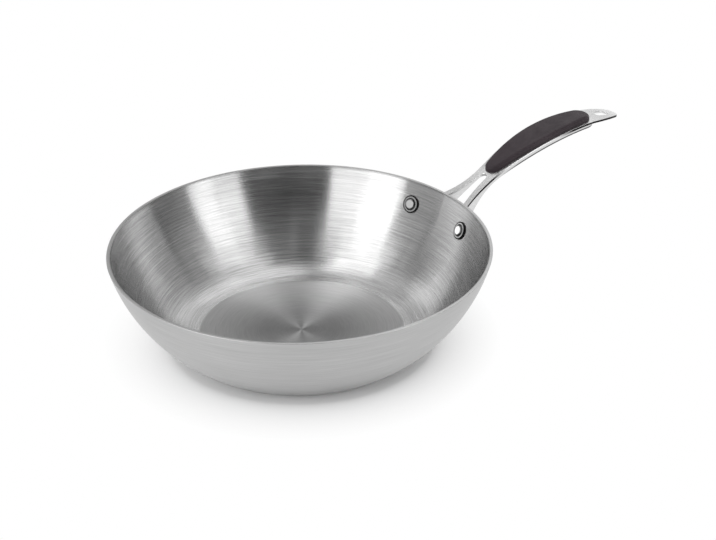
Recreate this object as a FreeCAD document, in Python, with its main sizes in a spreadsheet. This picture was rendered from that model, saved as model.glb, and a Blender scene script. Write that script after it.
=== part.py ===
import FreeCAD, Part
import Sketcher
import math
import os

# Stove-top wok: a bonded three-layer bowl and a forked steel handle with a soft grip.
# Millimetres and degrees. The origin is the centre of the flat base, +Z is up and the
# handle runs along +X. Reaches are measured from the bowl's axis past the rim, and
# rises are measured from the rim's plane.
SIZES = {
    # bowl
    "rim_radius": 140,
    "bowl_height": 72.5,
    "base_radius": 86,
    "base_corner_radius": 3,
    "wall_arc_radius": 129.5,
    "wall_thickness": 2.5,
    "base_thickness": 5,
    "skin_thickness": 0.5,
    "floor_radius": 75,
    "lip_round": 0.3,
    # handle, seen from the side
    "crest_out": 122.5,
    "crest_rise": 23.7,
    "crown_radius": 195,
    "neck_out": 38,
    "neck_radius": 210,
    "leg_root_in": 12,
    "plate_thickness": 1.5,
    "spine_depth": 2.7,
    "blade_out": 42.5,
    "blade_radius": 100,
    "blade_drop": 26,
    # handle, seen from above
    "handle_out": 171.4,
    "tip_radius": 8.5,
    "eye_half_width": 12.2,
    "eye_side_radius": 75,
    "belly_out": 100,
    "belly_half_width": 14.3,
    "belly_radius": 350,
    "waist_half_width": 9.4,
    "leg_side_radius": 75,
    "fork_out": 38.1,
    "fork_apex_radius": 3.1,
    "fork_gap_half": 2.8,
    "fork_side_radius": 89,
    "eye_hole_out": 154.7,
    "eye_hole_length": 4.6,
    "eye_hole_radius": 3.9,
    "spine_out": 143.5,
    "spine_inset": 0.3,
    "blade_inset": 2.5,
    "stock_margin": 40,
    "plate_round": 0.4,
    "spine_round": 0.7,
    # feet of the handle
    "foot_thickness": 3,
    "foot_top_drop": 7,
    "foot_height": 22,
    "foot_half_angle": 4.6,
    "foot_gap": 0.05,
    # soft grip
    "grip_out": 96,
    "grip_half_width": 12.6,
    "grip_side_radius": 220,
    "grip_front_radius": 6.8,
    "grip_back_radius": 9.5,
    "grip_height": 4,
    "grip_round": 3.1,
    "peg_radius": 2.5,
    "peg_depth": 1.2,
    "peg_clearance": 0.1,
    "peg_out": 62,
    "peg_spacing": 35,
    # rivets
    "rivet_drop": 16.4,
    "rivet_half_angle": 12.63,
    "rivet_shank_radius": 3,
    "rivet_hole_clearance": 0.1,
    "rivet_head_radius": 6.8,
    "rivet_flange_height": 1.1,
    "rivet_ring_radius": 4.7,
    "rivet_crown_radius": 3.4,
    "rivet_crown_height": 2.3,
    "rivet_tail_radius": 4.5,
    "rivet_tail_height": 1.6,
    "rivet_seat_gap": 0.2,
    "rivet_round": 0.5,
}

SHEET = "Sizes"
START, END, CENTRE = range(1, 4)
X_AXIS, Y_AXIS = range(-1, -3, -1)
ORIGIN = (X_AXIS, START)
NEAR = 1e-3

doc = FreeCAD.newDocument("wok")


class Size:
    """A length together with the spreadsheet expression that gives it."""

    def __init__(self, value, text):
        self.value = float(value)
        self.text = text

    def __add__(self, other):
        return Size(self.value + other.value, "(%s + %s)" % (self.text, other.text))

    def __sub__(self, other):
        return Size(self.value - other.value, "(%s - %s)" % (self.text, other.text))

    def times(self, factor):
        return Size(self.value * factor, "(%s * %g)" % (self.text, factor))


def make_sheet():
    sheet = doc.addObject("Spreadsheet::Sheet", SHEET)
    for row, (name, value) in enumerate(SIZES.items(), start=1):
        sheet.set("A%d" % row, name)
        sheet.set("B%d" % row, str(value))
        sheet.setAlias("B%d" % row, name)
    doc.recompute()
    return sheet


sheet = make_sheet()


def size(name):
    return Size(sheet.get(name), "%s.%s" % (SHEET, name))


NOTHING = Size(0, "0")


# ---------------------------------------------------------------- bodies and sketches

def new_body(name):
    body = doc.addObject("PartDesign::Body", name)
    body.Label = name
    return body


def origin_plane(body, role):
    for feature in body.Origin.OriginFeatures:
        if feature.Role == role:
            return feature
    raise ValueError(role)


def new_sketch(body, name, role, offset=None):
    sketch = body.newObject("Sketcher::SketchObject", name)
    sketch.AttachmentSupport = (origin_plane(body, role), [""])
    sketch.MapMode = "FlatFace"
    if offset is not None:
        sketch.AttachmentOffset = offset
    return sketch


def line(sketch, start, end):
    p = FreeCAD.Vector(start[0], start[1], 0)
    q = FreeCAD.Vector(end[0], end[1], 0)
    return sketch.addGeometry(Part.LineSegment(p, q))


def arc(sketch, centre, radius, start, end):
    """An arc that turns anticlockwise from the direction of start to that of end."""
    circle = Part.Circle(FreeCAD.Vector(centre[0], centre[1], 0), FreeCAD.Vector(0, 0, 1), radius)
    first = math.atan2(start[1] - centre[1], start[0] - centre[0])
    last = math.atan2(end[1] - centre[1], end[0] - centre[0])
    if last < first:
        last += 2 * math.pi
    return sketch.addGeometry(Part.ArcOfCircle(circle, first, last))


def add(sketch, kind, *items):
    return sketch.addConstraint(Sketcher.Constraint(kind, *items))


def join(sketch, first, second):
    add(sketch, "Coincident", *first, *second)


def smooth(sketch, first, second):
    add(sketch, "Tangent", *first, *second)


def on_axis(sketch, point, axis):
    add(sketch, "PointOnObject", *point, axis)


def dimension(sketch, kind, items, length):
    """A dimension bound to the sheet. A negative one is measured the other way round."""
    value, text = length.value, length.text
    if value < 0:
        items = (*items[2:], *items[:2])
        value, text = -value, "-1 * " + text
    number = add(sketch, kind, *items, value)
    sketch.setExpression("Constraints[%d]" % number, text)
    return number


def place(sketch, point, across=None, up=None):
    """Dimensions a point from the sketch's origin."""
    if across is not None:
        dimension(sketch, "DistanceX", (*ORIGIN, *point), across)
    if up is not None:
        dimension(sketch, "DistanceY", (*ORIGIN, *point), up)


def radius(sketch, geometry, length):
    number = add(sketch, "Radius", geometry, length.value)
    sketch.setExpression("Constraints[%d]" % number, length.text)


def measure(sketch, kind, items, name):
    """A named reference dimension that other sketches read."""
    number = add(sketch, kind, *items, 0.0)
    sketch.setDriving(number, False)
    sketch.renameConstraint(number, name)


def polygon(sketch, corners):
    """A closed outline of straight lines whose corners are all bound to the sheet."""
    count = len(corners)
    flat = [(x.value, y.value) for x, y in corners]
    lines = [line(sketch, flat[i], flat[(i + 1) % count]) for i in range(count)]
    for i, (x, y) in enumerate(corners):
        join(sketch, (lines[i - 1], END), (lines[i], START))
        for value, axis, spot in ((x, Y_AXIS, {"across": x}), (y, X_AXIS, {"up": y})):
            if value is NOTHING:
                on_axis(sketch, (lines[i], START), axis)
            else:
                place(sketch, (lines[i], START), **spot)


def feature(body, kind, name, **settings):
    made = body.newObject("PartDesign::" + kind, name)
    for key, value in settings.items():
        setattr(made, key, value)
    return made


def revolve(body, kind, sketch, name, angle=360.0, midplane=False):
    return feature(body, kind, name, Profile=sketch, ReferenceAxis=(sketch, ["V_Axis"]),
                   Angle=angle, Midplane=midplane)


def mirror(body, originals, name):
    copy = feature(body, "Mirrored", name, Originals=originals,
                   MirrorPlane=(origin_plane(body, "XZ_Plane"), [""]))
    body.Tip = copy
    return copy


def cylinder(body, kind, name, base, direction, radius_of, height):
    """An additive or subtractive cylinder from base along direction."""
    made = feature(body, kind, name, Radius=radius_of.value, Height=height)
    made.setExpression("Radius", radius_of.text)
    turn = FreeCAD.Rotation(FreeCAD.Vector(0, 0, 1), direction)
    made.AttachmentOffset = FreeCAD.Placement(base, turn)
    made.Placement = FreeCAD.Placement(base, turn)
    return made


def round_edges(body, name, base, wanted, length):
    """Fillets the edges of base for which wanted(edge) is true."""
    doc.recompute()
    names = ["Edge%d" % (i + 1) for i, edge in enumerate(base.Shape.Edges) if wanted(edge)]
    fillet = feature(body, "Fillet", name, Base=(base, names), Radius=length.value)
    fillet.setExpression("Radius", length.text)
    return fillet


# ---------------------------------------------------------------- the bowl

def wall_centre():
    """Centre of the wall's arc: it passes the rim and touches the base's corner arc from outside."""
    reach = size("wall_arc_radius").value
    corner = size("base_corner_radius").value
    rim = (size("rim_radius").value, size("bowl_height").value)
    low = (size("base_radius").value, corner)
    across, up = rim[0] - low[0], rim[1] - low[1]
    apart = math.hypot(across, up)
    along = (apart ** 2 + (reach - corner) ** 2 - reach ** 2) / (2 * apart)
    aside = math.sqrt((reach - corner) ** 2 - along ** 2)
    return (low[0] + (along * across - aside * up) / apart,
            low[1] + (along * up + aside * across) / apart)


def corner_radius_for(wall_radius, corner_start, floor):
    """Radius of the arc that leaves the floor at corner_start and runs smoothly into the wall."""
    centre = wall_centre()
    across, up = corner_start - centre[0], floor - centre[1]
    return (wall_radius ** 2 - across ** 2 - up ** 2) / (2 * (up + wall_radius))


def bowl_face(body, name, floor, corner_start, depth):
    """Half section of all that lies inside one face of the bowl, depth below its outside."""
    sketch = new_sketch(body, name, "XZ_Plane")
    height = size("bowl_height")
    wall = size("wall_arc_radius") - depth
    centre = wall_centre()
    corner = corner_radius_for(wall.value, corner_start.value, floor.value)
    corner_centre = (corner_start.value, floor.value + corner)
    along = math.hypot(corner_centre[0] - centre[0], corner_centre[1] - centre[1])
    meet = tuple(c + (k - c) * wall.value / along for c, k in zip(centre, corner_centre))
    rim = centre[0] + math.sqrt(wall.value ** 2 - (height.value - centre[1]) ** 2)
    bottom = (corner_start.value, floor.value)
    axis = line(sketch, (0, floor.value), (0, height.value))
    flat = line(sketch, (0, floor.value), bottom)
    bend = arc(sketch, corner_centre, corner, bottom, meet)
    side = arc(sketch, centre, wall.value, meet, (rim, height.value))
    top = line(sketch, (rim, height.value), (0, height.value))
    join(sketch, (axis, START), (flat, START))
    smooth(sketch, (flat, END), (bend, START))
    smooth(sketch, (bend, END), (side, START))
    join(sketch, (side, END), (top, START))
    join(sketch, (top, END), (axis, END))
    add(sketch, "Vertical", axis)
    add(sketch, "Horizontal", flat)
    add(sketch, "Horizontal", top)
    place(sketch, (flat, END), across=corner_start)
    place(sketch, (axis, END), up=height)
    radius(sketch, side, wall)
    if floor is NOTHING:
        join(sketch, (axis, START), ORIGIN)
    else:
        on_axis(sketch, (axis, START), Y_AXIS)
        place(sketch, (axis, START), up=floor)
    return sketch, bend, side


def outer_face(body, name):
    """The outside of the bowl. Its reference dimensions place every other face."""
    sketch, bend, side = bowl_face(body, name, NOTHING, size("base_radius"), NOTHING)
    radius(sketch, bend, size("base_corner_radius"))
    place(sketch, (side, END), across=size("rim_radius"))
    measure(sketch, "DistanceX", (*ORIGIN, side, CENTRE), "wall_centre_across")
    measure(sketch, "DistanceY", (*ORIGIN, side, CENTRE), "wall_centre_up")
    return sketch


def centre_on_wall(sketch, curve):
    """Puts an arc's centre where the centre of the bowl's outside is."""
    centre = wall_centre()
    place(sketch, (curve, CENTRE), across=Size(centre[0], "outside.Constraints.wall_centre_across"),
          up=Size(centre[1], "outside.Constraints.wall_centre_up"))


def lower_face(body, name, floor, corner_start, depth):
    sketch, bend, side = bowl_face(body, name, floor, corner_start, depth)
    centre_on_wall(sketch, side)
    return sketch


def wall_point(depth, drop, azimuth):
    """The point of the wall, depth below its outside and drop below the rim, and its outward normal."""
    centre = wall_centre()
    up = size("bowl_height").value - drop - centre[1]
    reach = size("wall_arc_radius").value - depth
    across = math.sqrt(reach ** 2 - up ** 2)
    turn = math.radians(azimuth)
    spread = FreeCAD.Vector(math.cos(turn), math.sin(turn), 0)
    point = spread * (centre[0] + across) + FreeCAD.Vector(0, 0, centre[1] + up)
    normal = (spread * across + FreeCAD.Vector(0, 0, up)) * (1 / reach)
    return point, normal


def drill_rivet_holes(body):
    """One clearance hole through the wall where each rivet passes."""
    back = size("rivet_head_radius").value
    bore = size("rivet_shank_radius") + size("rivet_hole_clearance")
    for side, azimuth in zip(("left", "right"), rivet_azimuths()):
        seat, outward = wall_point(size("wall_thickness").value, size("rivet_drop").value, azimuth)
        turn = FreeCAD.Rotation(FreeCAD.Vector(0, 0, 1), outward)
        name = "%s_%s_rivet" % (body.Name, side)
        sketch = new_sketch(body, name, "XY_Plane", FreeCAD.Placement(seat - outward * back, turn))
        circle = sketch.addGeometry(Part.Circle(FreeCAD.Vector(), FreeCAD.Vector(0, 0, 1), bore.value))
        join(sketch, (circle, CENTRE), ORIGIN)
        radius(sketch, circle, bore)
        feature(body, "Pocket", name + "_hole", Profile=sketch, Length=4 * back, Reversed=True)
        doc.recompute()


def rivet_azimuths():
    half = size("rivet_half_angle").value
    return half, -half


def is_rim_edge(rim):
    def wanted(edge):
        box = edge.BoundBox
        level = size("bowl_height").value
        return abs(box.ZMin - level) < NEAR and box.ZLength < NEAR and abs(edge.Curve.Radius - rim) < NEAR
    return wanted


def rim_radius_at(depth):
    reach = size("wall_arc_radius").value - depth
    centre = wall_centre()
    return centre[0] + math.sqrt(reach ** 2 - (size("bowl_height").value - centre[1]) ** 2)


def make_outer_skin():
    body = new_body("outer_skin")
    skin = size("skin_thickness")
    revolve(body, "Revolution", outer_face(body, "outside"), "outer_blank")
    inside = lower_face(body, "outer_skin_inside", skin, size("base_radius"), skin)
    shell = revolve(body, "Groove", inside, "outer_shell")
    round_edges(body, "outer_lip", shell, is_rim_edge(rim_radius_at(0)), size("lip_round"))
    drill_rivet_holes(body)
    return body


def make_core():
    body = new_body("aluminium_core")
    skin = size("skin_thickness")
    wall = size("wall_thickness")
    outside = lower_face(body, "core_outside", skin, size("base_radius"), skin)
    revolve(body, "Revolution", outside, "core_blank")
    inside = lower_face(body, "core_inside", size("base_thickness") - skin, size("floor_radius"),
                        wall - skin)
    revolve(body, "Groove", inside, "core_shell")
    drill_rivet_holes(body)
    return body


def make_inner_skin():
    body = new_body("inner_skin")
    skin = size("skin_thickness")
    wall = size("wall_thickness")
    base = size("base_thickness")
    outside = lower_face(body, "inner_skin_outside", base - skin, size("floor_radius"), wall - skin)
    revolve(body, "Revolution", outside, "inner_blank")
    inside = lower_face(body, "inside", base, size("floor_radius"), wall)
    shell = revolve(body, "Groove", inside, "inner_shell")
    rim = rim_radius_at(wall.value)
    round_edges(body, "inner_lip", shell, is_rim_edge(rim), size("lip_round"))
    drill_rivet_holes(body)
    return body


# ---------------------------------------------------------------- side views of the handle

def from_rim(name):
    return size("rim_radius") + size(name)


def crown_centre():
    across = from_rim("crest_out")
    up = size("bowl_height") + size("crest_rise") - size("crown_radius")
    return across, up


def on_circle(centre, reach, across, side):
    """The point of a circle at the given place across: side is 1 above the centre, -1 below."""
    return across, centre[1] + side * math.sqrt(reach ** 2 - (across - centre[0]) ** 2)


def neck_centre():
    """The neck's arc leaves the crown's arc smoothly at the neck's reach, and bends the other way."""
    across, up = (part.value for part in crown_centre())
    reach = size("crown_radius").value
    meet = on_circle((across, up), reach, from_rim("neck_out").value, 1)
    share = (reach + size("neck_radius").value) / reach
    return across + (meet[0] - across) * share, up + (meet[1] - up) * share


def top_surface(across):
    """Height of the handle plate's upper surface over the crown."""
    centre = tuple(part.value for part in crown_centre())
    return on_circle(centre, size("crown_radius").value, across, 1)[1]


def leg_root():
    return size("rim_radius") - size("leg_root_in")


def end_of_stock():
    return from_rim("handle_out") + size("stock_margin")


def crown_and_neck(sketch, depth, far):
    """The two smooth arcs that lie depth below the plate's upper surface, from far to the leg's root."""
    crown = tuple(part.value for part in crown_centre())
    neck = neck_centre()
    crown_reach = size("crown_radius") - depth
    neck_reach = size("neck_radius").value + depth.value
    share = crown_reach.value / size("crown_radius").value
    top = on_circle(crown, size("crown_radius").value, from_rim("neck_out").value, 1)
    meet = tuple(c + (t - c) * share for c, t in zip(crown, top))
    first = on_circle(crown, crown_reach.value, far.value, 1)
    last = on_circle(neck, neck_reach, leg_root().value, -1)
    crown_arc = arc(sketch, crown, crown_reach.value, first, meet)
    neck_arc = arc(sketch, neck, neck_reach, last, meet)
    smooth(sketch, (crown_arc, END), (neck_arc, END))
    across, up = crown_centre()
    place(sketch, (crown_arc, CENTRE), across=across, up=up)
    radius(sketch, crown_arc, crown_reach)
    place(sketch, (crown_arc, START), across=far)
    place(sketch, (neck_arc, START), across=leg_root())
    return crown_arc, neck_arc, first, last


def plate_side(body):
    """Side view of the plate: one thickness between two pairs of arcs."""
    sketch = new_sketch(body, "plate_side", "XZ_Plane")
    far = end_of_stock()
    crown, neck, first, last = crown_and_neck(sketch, NOTHING, far)
    place(sketch, (neck, END), across=from_rim("neck_out"))
    radius(sketch, neck, size("neck_radius"))
    measure(sketch, "DistanceX", (*ORIGIN, neck, CENTRE), "neck_centre_across")
    measure(sketch, "DistanceY", (*ORIGIN, neck, CENTRE), "neck_centre_up")
    under_crown, under_neck, under_first, under_last = crown_and_neck(sketch, size("plate_thickness"), far)
    join(sketch, (under_neck, CENTRE), (neck, CENTRE))
    tip = line(sketch, first, under_first)
    root = line(sketch, last, under_last)
    join(sketch, (tip, START), (crown, START))
    join(sketch, (tip, END), (under_crown, START))
    join(sketch, (root, START), (neck, START))
    join(sketch, (root, END), (under_neck, START))
    return sketch


def spine_side(body):
    """Side view of the frame: the spine under the plate, and the blades of the legs below the neck."""
    sketch = new_sketch(body, "spine_side", "XZ_Plane")
    far = from_rim("handle_out")
    depth = size("plate_thickness")
    crown, neck, first, last = crown_and_neck(sketch, depth, far)
    centre = neck_centre()
    place(sketch, (neck, CENTRE), across=Size(centre[0], "plate_side.Constraints.neck_centre_across"),
          up=Size(centre[1], "plate_side.Constraints.neck_centre_up"))
    middle = tuple(part.value for part in crown_centre())
    under = size("crown_radius") - depth - size("spine_depth")
    under_far = on_circle(middle, under.value, far.value, 1)
    turn = on_circle(middle, under.value, from_rim("blade_out").value, 1)
    share = (under.value - size("blade_radius").value) / under.value
    blade_centre = tuple(m + (t - m) * share for m, t in zip(middle, turn))
    low = size("bowl_height") - size("blade_drop")
    blade_reach = size("blade_radius").value
    foot = blade_centre[0] - math.sqrt(blade_reach ** 2 - (low.value - blade_centre[1]) ** 2)
    bottom = arc(sketch, middle, under.value, under_far, turn)
    blade = arc(sketch, blade_centre, blade_reach, turn, (foot, low.value))
    sole = line(sketch, (foot, low.value), (leg_root().value, low.value))
    root = line(sketch, (leg_root().value, low.value), last)
    tip = line(sketch, first, under_far)
    join(sketch, (bottom, CENTRE), (crown, CENTRE))
    radius(sketch, bottom, under)
    smooth(sketch, (bottom, END), (blade, START))
    place(sketch, (bottom, END), across=from_rim("blade_out"))
    radius(sketch, blade, size("blade_radius"))
    join(sketch, (blade, END), (sole, START))
    place(sketch, (sole, START), up=low)
    add(sketch, "Horizontal", sole)
    join(sketch, (sole, END), (root, START))
    join(sketch, (root, END), (neck, START))
    add(sketch, "Vertical", root)
    join(sketch, (tip, START), (crown, START))
    join(sketch, (tip, END), (bottom, START))
    add(sketch, "Vertical", tip)
    return sketch


def slab(body, sketch, name):
    """The side view made as wide as the stock."""
    pad = feature(body, "Pad", name, Profile=sketch, Midplane=True)
    wide = size("belly_half_width") + size("stock_margin")
    pad.Length = 2 * wide.value
    pad.setExpression("Length", wide.times(2).text)
    return pad


def cut_through(body, sketch, name):
    """Cuts a plan outline all the way, up and down."""
    return feature(body, "Pocket", name, Profile=sketch, Type="ThroughAll", Midplane=True)


# ---------------------------------------------------------------- plan views of the handle

def tangent_across(low, high, apart):
    """How far apart, across, two arc centres lie when they are this far apart in all."""
    return math.sqrt(apart ** 2 - (high - low) ** 2)


def stock_outline(sketch, tip_point, tip_curve, root_point, root_curve):
    """Closes the waste outside half a plan outline with the edges of the stock."""
    edge = size("belly_half_width") + size("stock_margin")
    far = end_of_stock() + size("stock_margin")
    root_line = line(sketch, root_point, (root_point[0], edge.value))
    side = line(sketch, (root_point[0], edge.value), (far.value, edge.value))
    front = line(sketch, (far.value, edge.value), (far.value, 0))
    back = line(sketch, (far.value, 0), tip_point)
    join(sketch, (root_line, START), root_curve)
    join(sketch, (root_line, END), (side, START))
    join(sketch, (side, END), (front, START))
    join(sketch, (front, END), (back, START))
    join(sketch, (back, END), tip_curve)
    add(sketch, "Vertical", root_line)
    add(sketch, "Horizontal", side)
    add(sketch, "Vertical", front)
    on_axis(sketch, (back, START), X_AXIS)
    place(sketch, (side, END), across=far, up=edge)


def belly_and_leg(sketch, inset, start):
    """The plan's long belly arc and the leg's arc that runs smoothly out of it."""
    belly_radius = size("belly_radius")
    belly_up = size("belly_half_width") - inset - belly_radius
    belly_centre = (from_rim("belly_out").value, belly_up.value)
    leg_radius = size("leg_side_radius")
    leg_up = size("waist_half_width") - inset + leg_radius
    apart = belly_radius.value + leg_radius.value
    leg_across = belly_centre[0] - tangent_across(belly_up.value, leg_up.value, apart)
    leg_centre = (leg_across, leg_up.value)
    share = belly_radius.value / apart
    meet = tuple(b + (g - b) * share for b, g in zip(belly_centre, leg_centre))
    root = on_circle(leg_centre, leg_radius.value, leg_root().value, -1)
    belly = arc(sketch, belly_centre, belly_radius.value, start, meet)
    leg = arc(sketch, leg_centre, leg_radius.value, root, meet)
    place(sketch, (belly, CENTRE), across=from_rim("belly_out"), up=belly_up)
    radius(sketch, belly, belly_radius)
    smooth(sketch, (belly, END), (leg, END))
    radius(sketch, leg, leg_radius)
    place(sketch, (leg, CENTRE), up=leg_up)
    place(sketch, (leg, START), across=leg_root())
    return belly, leg, root


def plate_waste(body):
    """What is cut away beside the plate: round tip, swelling eye, long belly and spreading leg."""
    sketch = new_sketch(body, "plate_waste", "XY_Plane")
    tip_radius = size("tip_radius")
    reach = from_rim("handle_out")
    tip_centre = (reach.value - tip_radius.value, 0)
    eye_radius = size("eye_side_radius")
    eye_up = size("eye_half_width") - eye_radius
    apart = eye_radius.value - tip_radius.value
    eye_centre = (tip_centre[0] - tangent_across(eye_up.value, 0, apart), eye_up.value)
    meet = tuple(e + (t - e) * eye_radius.value / apart for e, t in zip(eye_centre, tip_centre))
    belly_centre = (from_rim("belly_out").value,
                    size("belly_half_width").value - size("belly_radius").value)
    notch = crossing(belly_centre, size("belly_radius").value, eye_centre, eye_radius.value)
    tip = arc(sketch, tip_centre, tip_radius.value, (reach.value, 0), meet)
    eye = arc(sketch, eye_centre, eye_radius.value, meet, notch)
    on_axis(sketch, (tip, CENTRE), X_AXIS)
    on_axis(sketch, (tip, START), X_AXIS)
    radius(sketch, tip, tip_radius)
    place(sketch, (tip, START), across=reach)
    smooth(sketch, (tip, END), (eye, START))
    radius(sketch, eye, eye_radius)
    place(sketch, (eye, CENTRE), up=eye_up)
    belly, leg, root = belly_and_leg(sketch, NOTHING, notch)
    join(sketch, (eye, END), (belly, START))
    stock_outline(sketch, (reach.value, 0), (tip, START), root, (leg, START))
    return sketch


def crossing(first, first_radius, second, second_radius):
    """The upper crossing of two circles."""
    across, up = second[0] - first[0], second[1] - first[1]
    apart = math.hypot(across, up)
    along = (apart ** 2 + first_radius ** 2 - second_radius ** 2) / (2 * apart)
    aside = math.sqrt(first_radius ** 2 - along ** 2)
    options = [(first[0] + (along * across - side * aside * up) / apart,
                first[1] + (along * up + side * aside * across) / apart) for side in (1, -1)]
    return max(options, key=lambda point: point[1])


def spine_waste(body):
    """What is cut away beside the frame: the same belly and leg, a little inside, and a round end."""
    sketch = new_sketch(body, "spine_waste", "XY_Plane")
    inset = size("spine_inset")
    reach = from_rim("spine_out")
    belly_radius = size("belly_radius").value
    belly_up = size("belly_half_width").value - inset.value - belly_radius
    belly_centre = (from_rim("belly_out").value, belly_up)
    along = reach.value - belly_centre[0]
    end_radius = (belly_radius ** 2 - belly_up ** 2 - along ** 2) / (2 * (belly_radius - along))
    end_centre = (reach.value - end_radius, 0)
    share = belly_radius / (belly_radius - end_radius)
    meet = tuple(b + (e - b) * share for b, e in zip(belly_centre, end_centre))
    tip_point = (reach.value, 0)
    tip = arc(sketch, end_centre, end_radius, tip_point, meet)
    on_axis(sketch, (tip, CENTRE), X_AXIS)
    on_axis(sketch, (tip, START), X_AXIS)
    place(sketch, (tip, START), across=reach)
    belly, leg, root = belly_and_leg(sketch, inset, meet)
    smooth(sketch, (tip, END), (belly, START))
    stock_outline(sketch, tip_point, (tip, START), root, (leg, START))
    return sketch


def fork_gap(body, name, inset):
    """Half of the gap between the legs: a round apex and a spreading side."""
    sketch = new_sketch(body, name, "XY_Plane")
    apex_radius = size("fork_apex_radius") + inset
    apex_across = from_rim("fork_out") - size("fork_apex_radius")
    side_radius = size("fork_side_radius") - inset
    side_up = size("fork_gap_half") + size("fork_side_radius")
    apart = apex_radius.value + side_radius.value
    side_centre = (apex_across.value + tangent_across(0, side_up.value, apart), side_up.value)
    share = apex_radius.value / apart
    apex_centre = (apex_across.value, 0)
    meet = tuple(a + (b - a) * share for a, b in zip(apex_centre, side_centre))
    root = on_circle(side_centre, side_radius.value, leg_root().value, -1)
    apex_point = (apex_across.value + apex_radius.value, 0)
    apex = arc(sketch, apex_centre, apex_radius.value, apex_point, meet)
    side = arc(sketch, side_centre, side_radius.value, root, meet)
    back = line(sketch, root, (leg_root().value, 0))
    axis = line(sketch, (leg_root().value, 0), apex_point)
    on_axis(sketch, (apex, CENTRE), X_AXIS)
    on_axis(sketch, (apex, START), X_AXIS)
    place(sketch, (apex, CENTRE), across=apex_across)
    radius(sketch, apex, apex_radius)
    smooth(sketch, (apex, END), (side, END))
    radius(sketch, side, side_radius)
    place(sketch, (side, CENTRE), up=side_up)
    join(sketch, (side, START), (back, START))
    place(sketch, (back, START), across=leg_root())
    join(sketch, (back, END), (axis, START))
    on_axis(sketch, (axis, START), X_AXIS)
    add(sketch, "Vertical", back)
    join(sketch, (axis, END), (apex, START))
    return sketch


def eye_hole(body):
    """The hanging hole: two round ends and two straight sides along the handle."""
    sketch = new_sketch(body, "eye_hole", "XY_Plane")
    reach = size("eye_hole_radius")
    near = from_rim("eye_hole_out")
    far = near + size("eye_hole_length")
    upper = line(sketch, (near.value, reach.value), (far.value, reach.value))
    lower = line(sketch, (near.value, -reach.value), (far.value, -reach.value))
    front = arc(sketch, (far.value, 0), reach.value, (far.value, -reach.value), (far.value, reach.value))
    back = arc(sketch, (near.value, 0), reach.value, (near.value, reach.value), (near.value, -reach.value))
    smooth(sketch, (upper, END), (front, END))
    smooth(sketch, (front, START), (lower, END))
    smooth(sketch, (lower, START), (back, END))
    smooth(sketch, (back, START), (upper, START))
    on_axis(sketch, (front, CENTRE), X_AXIS)
    on_axis(sketch, (back, CENTRE), X_AXIS)
    place(sketch, (back, CENTRE), across=near)
    place(sketch, (front, CENTRE), across=far)
    radius(sketch, front, reach)
    return sketch


# ---------------------------------------------------------------- pieces of the handle

def ring_section(body, name, inner, outer, azimuth, drop, height):
    """Section of a ring that follows the wall's outside, from drop below the rim down by height."""
    turn = FreeCAD.Rotation(FreeCAD.Vector(0, 1, 0), azimuth)
    sketch = new_sketch(body, name, "XZ_Plane", FreeCAD.Placement(FreeCAD.Vector(0, 0, 0), turn))
    centre = wall_centre()
    top = size("bowl_height") - drop
    low = top - height
    wall = size("wall_arc_radius")
    curves = []
    for extra in (inner, outer):
        reach = wall + extra
        spots = []
        for level in (low, top):
            across = centre[0] + math.sqrt(reach.value ** 2 - (level.value - centre[1]) ** 2)
            spots.append((across, level.value))
        curve = arc(sketch, centre, reach.value, spots[0], spots[1])
        centre_on_wall(sketch, curve)
        radius(sketch, curve, reach)
        place(sketch, (curve, START), up=low)
        place(sketch, (curve, END), up=top)
        curves.append((curve, spots))
    for end, spot in ((START, 0), (END, 1)):
        bar = line(sketch, curves[0][1][spot], curves[1][1][spot])
        join(sketch, (bar, START), (curves[0][0], end))
        join(sketch, (bar, END), (curves[1][0], end))
    return sketch


def clear_the_wall(body, name, gap):
    """Takes away what would reach into the bowl's wall, and leaves this gap to it."""
    deep = NOTHING - size("leg_root_in").times(2)
    section = ring_section(body, name + "_section", deep, gap, 0, NOTHING, size("bowl_height").times(0.8))
    cut = revolve(body, "Groove", section, name)
    body.Tip = cut
    return cut


def add_feet(body):
    """Two curved feet that lie on the wall, one at the end of each leg."""
    gap = size("foot_gap")
    azimuth = size("rivet_half_angle").value
    section = ring_section(body, "foot_section", gap, gap + size("foot_thickness"), azimuth,
                           size("foot_top_drop"), size("foot_height"))
    angle = size("foot_half_angle").times(2)
    foot = revolve(body, "Revolution", section, "foot", angle.value, True)
    foot.setExpression("Angle", angle.text)
    return mirror(body, [foot], "feet")


def peg_places():
    first = from_rim("peg_out").value
    return [first + step * size("peg_spacing").value for step in range(3)]


def peg_holes(body, through):
    """Holes for the grip's pegs: through the plate, and blind in the spine."""
    bore = size("peg_radius") + size("peg_clearance")
    under = size("plate_thickness").value + size("peg_depth").value + size("peg_clearance").value
    for number, across in enumerate(peg_places(), start=1):
        level = top_surface(across)
        bottom = level - (4 * under if through else under)
        base = FreeCAD.Vector(across, 0, bottom)
        cylinder(body, "SubtractiveCylinder", "%s_peg_hole_%d" % (body.Name, number), base,
                 FreeCAD.Vector(0, 0, 1), bore, level - bottom + under)


def runs_along(edge):
    """True for an edge that doesn't just cross the handle."""
    return edge.BoundBox.XLength > NEAR


def spots(edge):
    return edge.discretize(7)


def away_from(centre, point):
    return math.hypot(point.x - centre[0], point.z - centre[1])


def is_plate_top(edge):
    """True for an outline edge of the plate's upper surface."""
    crown = tuple(part.value for part in crown_centre())
    on_crown = all(abs(away_from(crown, p) - size("crown_radius").value) < NEAR for p in spots(edge))
    on_neck = all(abs(away_from(neck_centre(), p) - size("neck_radius").value) < NEAR for p in spots(edge))
    return runs_along(edge) and (on_crown or on_neck)


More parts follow.
